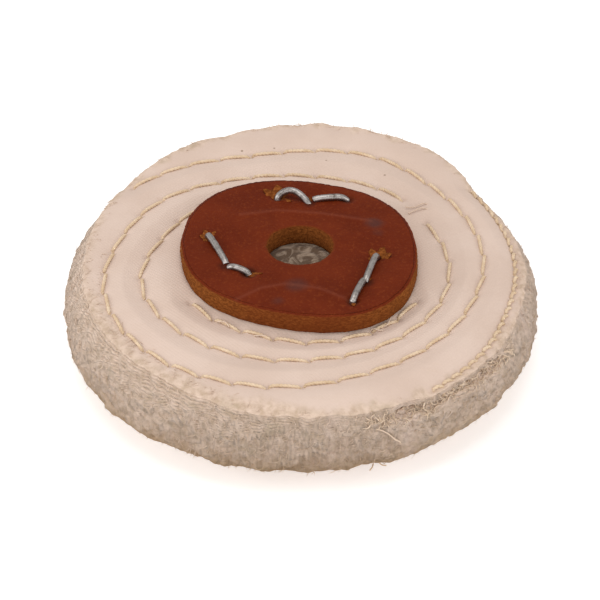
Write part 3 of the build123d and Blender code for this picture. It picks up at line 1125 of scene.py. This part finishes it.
drawn_steel, tree, shader = new_material("drawn_steel_wire", 0.34, Metallic=1.0)
place = tree.place()
tarnish = tree.noise(place, 700.0, 4.0, 0.65)
drawn_out = tree.node("ShaderNodeMapping", None, {"Vector": place, "Scale": (1.0, 1.0, 0.3)})
scratch = tree.noise(drawn_out, 2600.0)
colour = tree.blend(tree.ramp(tarnish, 0.42, 0.72), STEEL, TARNISH)
feed(tree, shader, Base_Color=colour, Roughness=0.30 + tarnish * 0.22)
bumped(tree, shader, tarnish * 0.7 + scratch * 0.5, 0.35, 0.00008)

for side, legs in STAPLES.items():
    points, faces = np.zeros((0, 3)), []
    for clinch, leg in zip(CLINCHES[side], legs):
        course_points = [(x, y, z + WASHER_HIGH - 0.15 - TILT * y) for x, y, z in reversed(clinch)]
        course_points.append((leg[0], leg[1], WASHER_LOW - 1.5))
        leg_points, leg_faces = wire(course_points, WIRE_RADIUS)
        faces += [tuple(i + len(points) for i in face) for face in leg_faces]
        points = np.vstack([points, leg_points])
    first, second = (np.array(leg) for leg in legs)
    inward = (second - first) / np.linalg.norm(second - first)
    crown_places = [(first + inward * gap, level) for gap, level in CROWN]
    crown_places += [((first + second) / 2, WIRE_RADIUS)]
    crown_places += [(second - inward * gap, level) for gap, level in reversed(CROWN)]
    crown, crown_faces = wire([(*spot, z) for spot, z in crown_places], WIRE_RADIUS)
    faces += [tuple(i + len(points) for i in face) for face in crown_faces]
    points = np.vstack([points, crown])
    piece = new_piece(f"clinched_staple_{side}", points, faces, drawn_steel)
    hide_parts(f"wire_staple_{side}")
    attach(piece, "root")

# ---------------------------------------------------------------- loose fibres
# A few single yarns have worked loose: one long one hangs down the front of the rim, some short
# ends stand beside the washer and where a row of stitches begins. Each is rooted in the cloth.
YARN_RADIUS, YARN_SIDES = 0.13, 7
# The rim's upper edges have sunk, so a yarn near the top starts this much lower
SUNK = 1.2


def on_rim(angle, share, out):
    """A place on the frayed rim, a little way out from the cut edges."""
    nominal = STACK_LOW + share * (STACK_HIGH - STACK_LOW)
    flat = on_circle(float(ply_edge(np.array([angle]), share, nominal)[0]) + out, angle)
    return (flat[0], flat[1], nominal - SUNK * share)


def on_face(radius, angle, up):
    """A place on the upper face, a little way above the cloth."""
    flat = on_circle(radius, angle)
    return (flat[0], flat[1], STACK_HIGH + float(face_height(np.array([flat]), True)[0]) + up)


# The course of each yarn on the rim, as (angle, share of the height, distance out)
RIM_YARNS = [
    [(-72, 0.72, -0.4), (-70.5, 0.68, 0.3), (-69, 0.60, 0.5), (-67.6, 0.50, 0.4)]
    + [(-66.4, 0.44, 0.45), (-65.8, 0.36, 0.3)],
    [(-71, 0.10, -0.3), (-70.5, 0.08, 0.5), (-69.8, 0.07, 0.8), (-69.2, 0.03, 0.7)],
    [(-72, 0.05, -0.3), (-72.6, 0.05, 0.6), (-73.5, 0.03, 0.7)],
]
# The course of each yarn on the upper face, as (radius, angle, height over the cloth)
FACE_YARNS = [
    [(34.2, 36, -0.4), (33.0, 37, 0.5), (31.0, 38, 0.35), (29.2, 39.5, 0.5)],
    [(33.4, 33, -0.4), (31.8, 35, 0.45), (30.0, 35.5, 0.4), (28.2, 35, 0.3)],
    [(26.9, -52, -0.3), (27.6, -50, 0.5), (27.0, -47, 0.8), (26.4, -45, 0.5)],
    [(26.5, -58, -0.3), (26.9, -56, 0.6), (27.8, -54.5, 0.4), (28.3, -53, 0.2)],
    [(25.7, -132, -0.3), (25.9, -130, 0.5), (25.4, -127, 0.7), (25.9, -124, 0.3)],
    [(25.6, -112, -0.3), (25.9, -110, 0.4), (25.5, -107, 0.5), (25.7, -104, 0.2)],
]
yarn_courses = [[on_rim(*spot) for spot in yarn] for yarn in RIM_YARNS]
yarn_courses += [[on_face(*spot) for spot in yarn] for yarn in FACE_YARNS]
for number, course_points in enumerate(yarn_courses):
    points, faces = wire(course_points, YARN_RADIUS, YARN_SIDES)
    piece = new_piece(f"loose_yarn_{number + 1}", points, faces, fluff)
    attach(piece, "root")

# ---------------------------------------------------------------- stage
# A plain pale floor that glows a little, as a lit sweep does, and broad soft light from
# overhead and from three sides. A long lens looks down from the front.
FLOOR_REACH, FLOOR_GLOW = 3000, 0.3
WORLD_STRENGTH = 0.6
floor_material, tree, shader = new_material("pale_floor", 0.9)
shader.inputs["Base Color"].default_value = rgb(0.93, 0.93, 0.93)
shader.inputs["Emission Color"].default_value = rgb(1.0, 1.0, 1.0)
shader.inputs["Emission Strength"].default_value = FLOOR_GLOW
corners = [(x * FLOOR_REACH, y * FLOOR_REACH, 0) for x, y in ((-1, -1), (1, -1), (1, 1), (-1, 1))]
floor = new_piece("floor", corners, [(0, 1, 2, 3)], floor_material)

world = bpy.data.worlds.new("studio")
world.use_nodes = True
background = world.node_tree.nodes["Background"]
background.inputs["Color"].default_value = rgb(1.0, 0.99, 0.98)
background.inputs["Strength"].default_value = WORLD_STRENGTH
bpy.context.scene.world = world


def soft_light(name, place, target, size, power):
    """A square light at a place, turned towards its target. The power is in watts."""
    light = bpy.data.lights.new(name, "AREA")
    light.shape = "SQUARE"
    light.size = size
    light.energy = power
    made = bpy.data.objects.new(name, light)
    made.location = place
    made.rotation_euler = (Vector(target) - Vector(place)).to_track_quat("-Z", "Y").to_euler()
    bpy.context.scene.collection.objects.link(made)


# Each light as (name, place, target, size, power)
LIGHTS = [
    ("overhead", (-0.05, 0.04, 0.6), (0, 0, 0), 0.5, 1.4),
    ("left", (-0.6, -0.2, 0.3), (0, 0, 0.01), 0.4, 1.7),
    ("right", (0.6, -0.15, 0.28), (0, 0, 0.01), 0.4, 1.1),
    ("front", (0.05, -0.6, 0.25), (0, 0, 0.01), 0.4, 0.75),
]
for settings in LIGHTS:
    soft_light(*settings)

LOOK_DOWN = math.radians(38)
DISTANCE = 0.7
# How far below the centre of the upper face the camera aims
FOCUS_DROP = 0.00797
LENS, SENSOR = 200.3, 36
toward = Vector((0, -math.cos(LOOK_DOWN), math.sin(LOOK_DOWN)))
picture_up = Vector((0, math.sin(LOOK_DOWN), math.cos(LOOK_DOWN)))
cloth_centre = Vector((0, 0, STACK_HIGH * MM))
camera = bpy.data.objects.new("camera", bpy.data.cameras.new("camera"))
camera.data.lens = LENS
camera.data.sensor_width = SENSOR
camera.location = cloth_centre + toward * DISTANCE
aim = cloth_centre - picture_up * FOCUS_DROP - camera.location
camera.rotation_euler = aim.to_track_quat("-Z", "Y").to_euler()
camera.data.clip_start, camera.data.clip_end = 0.01, 10
bpy.context.scene.collection.objects.link(camera)
bpy.context.scene.camera = camera
bpy.context.scene.view_settings.view_transform = "Standard"
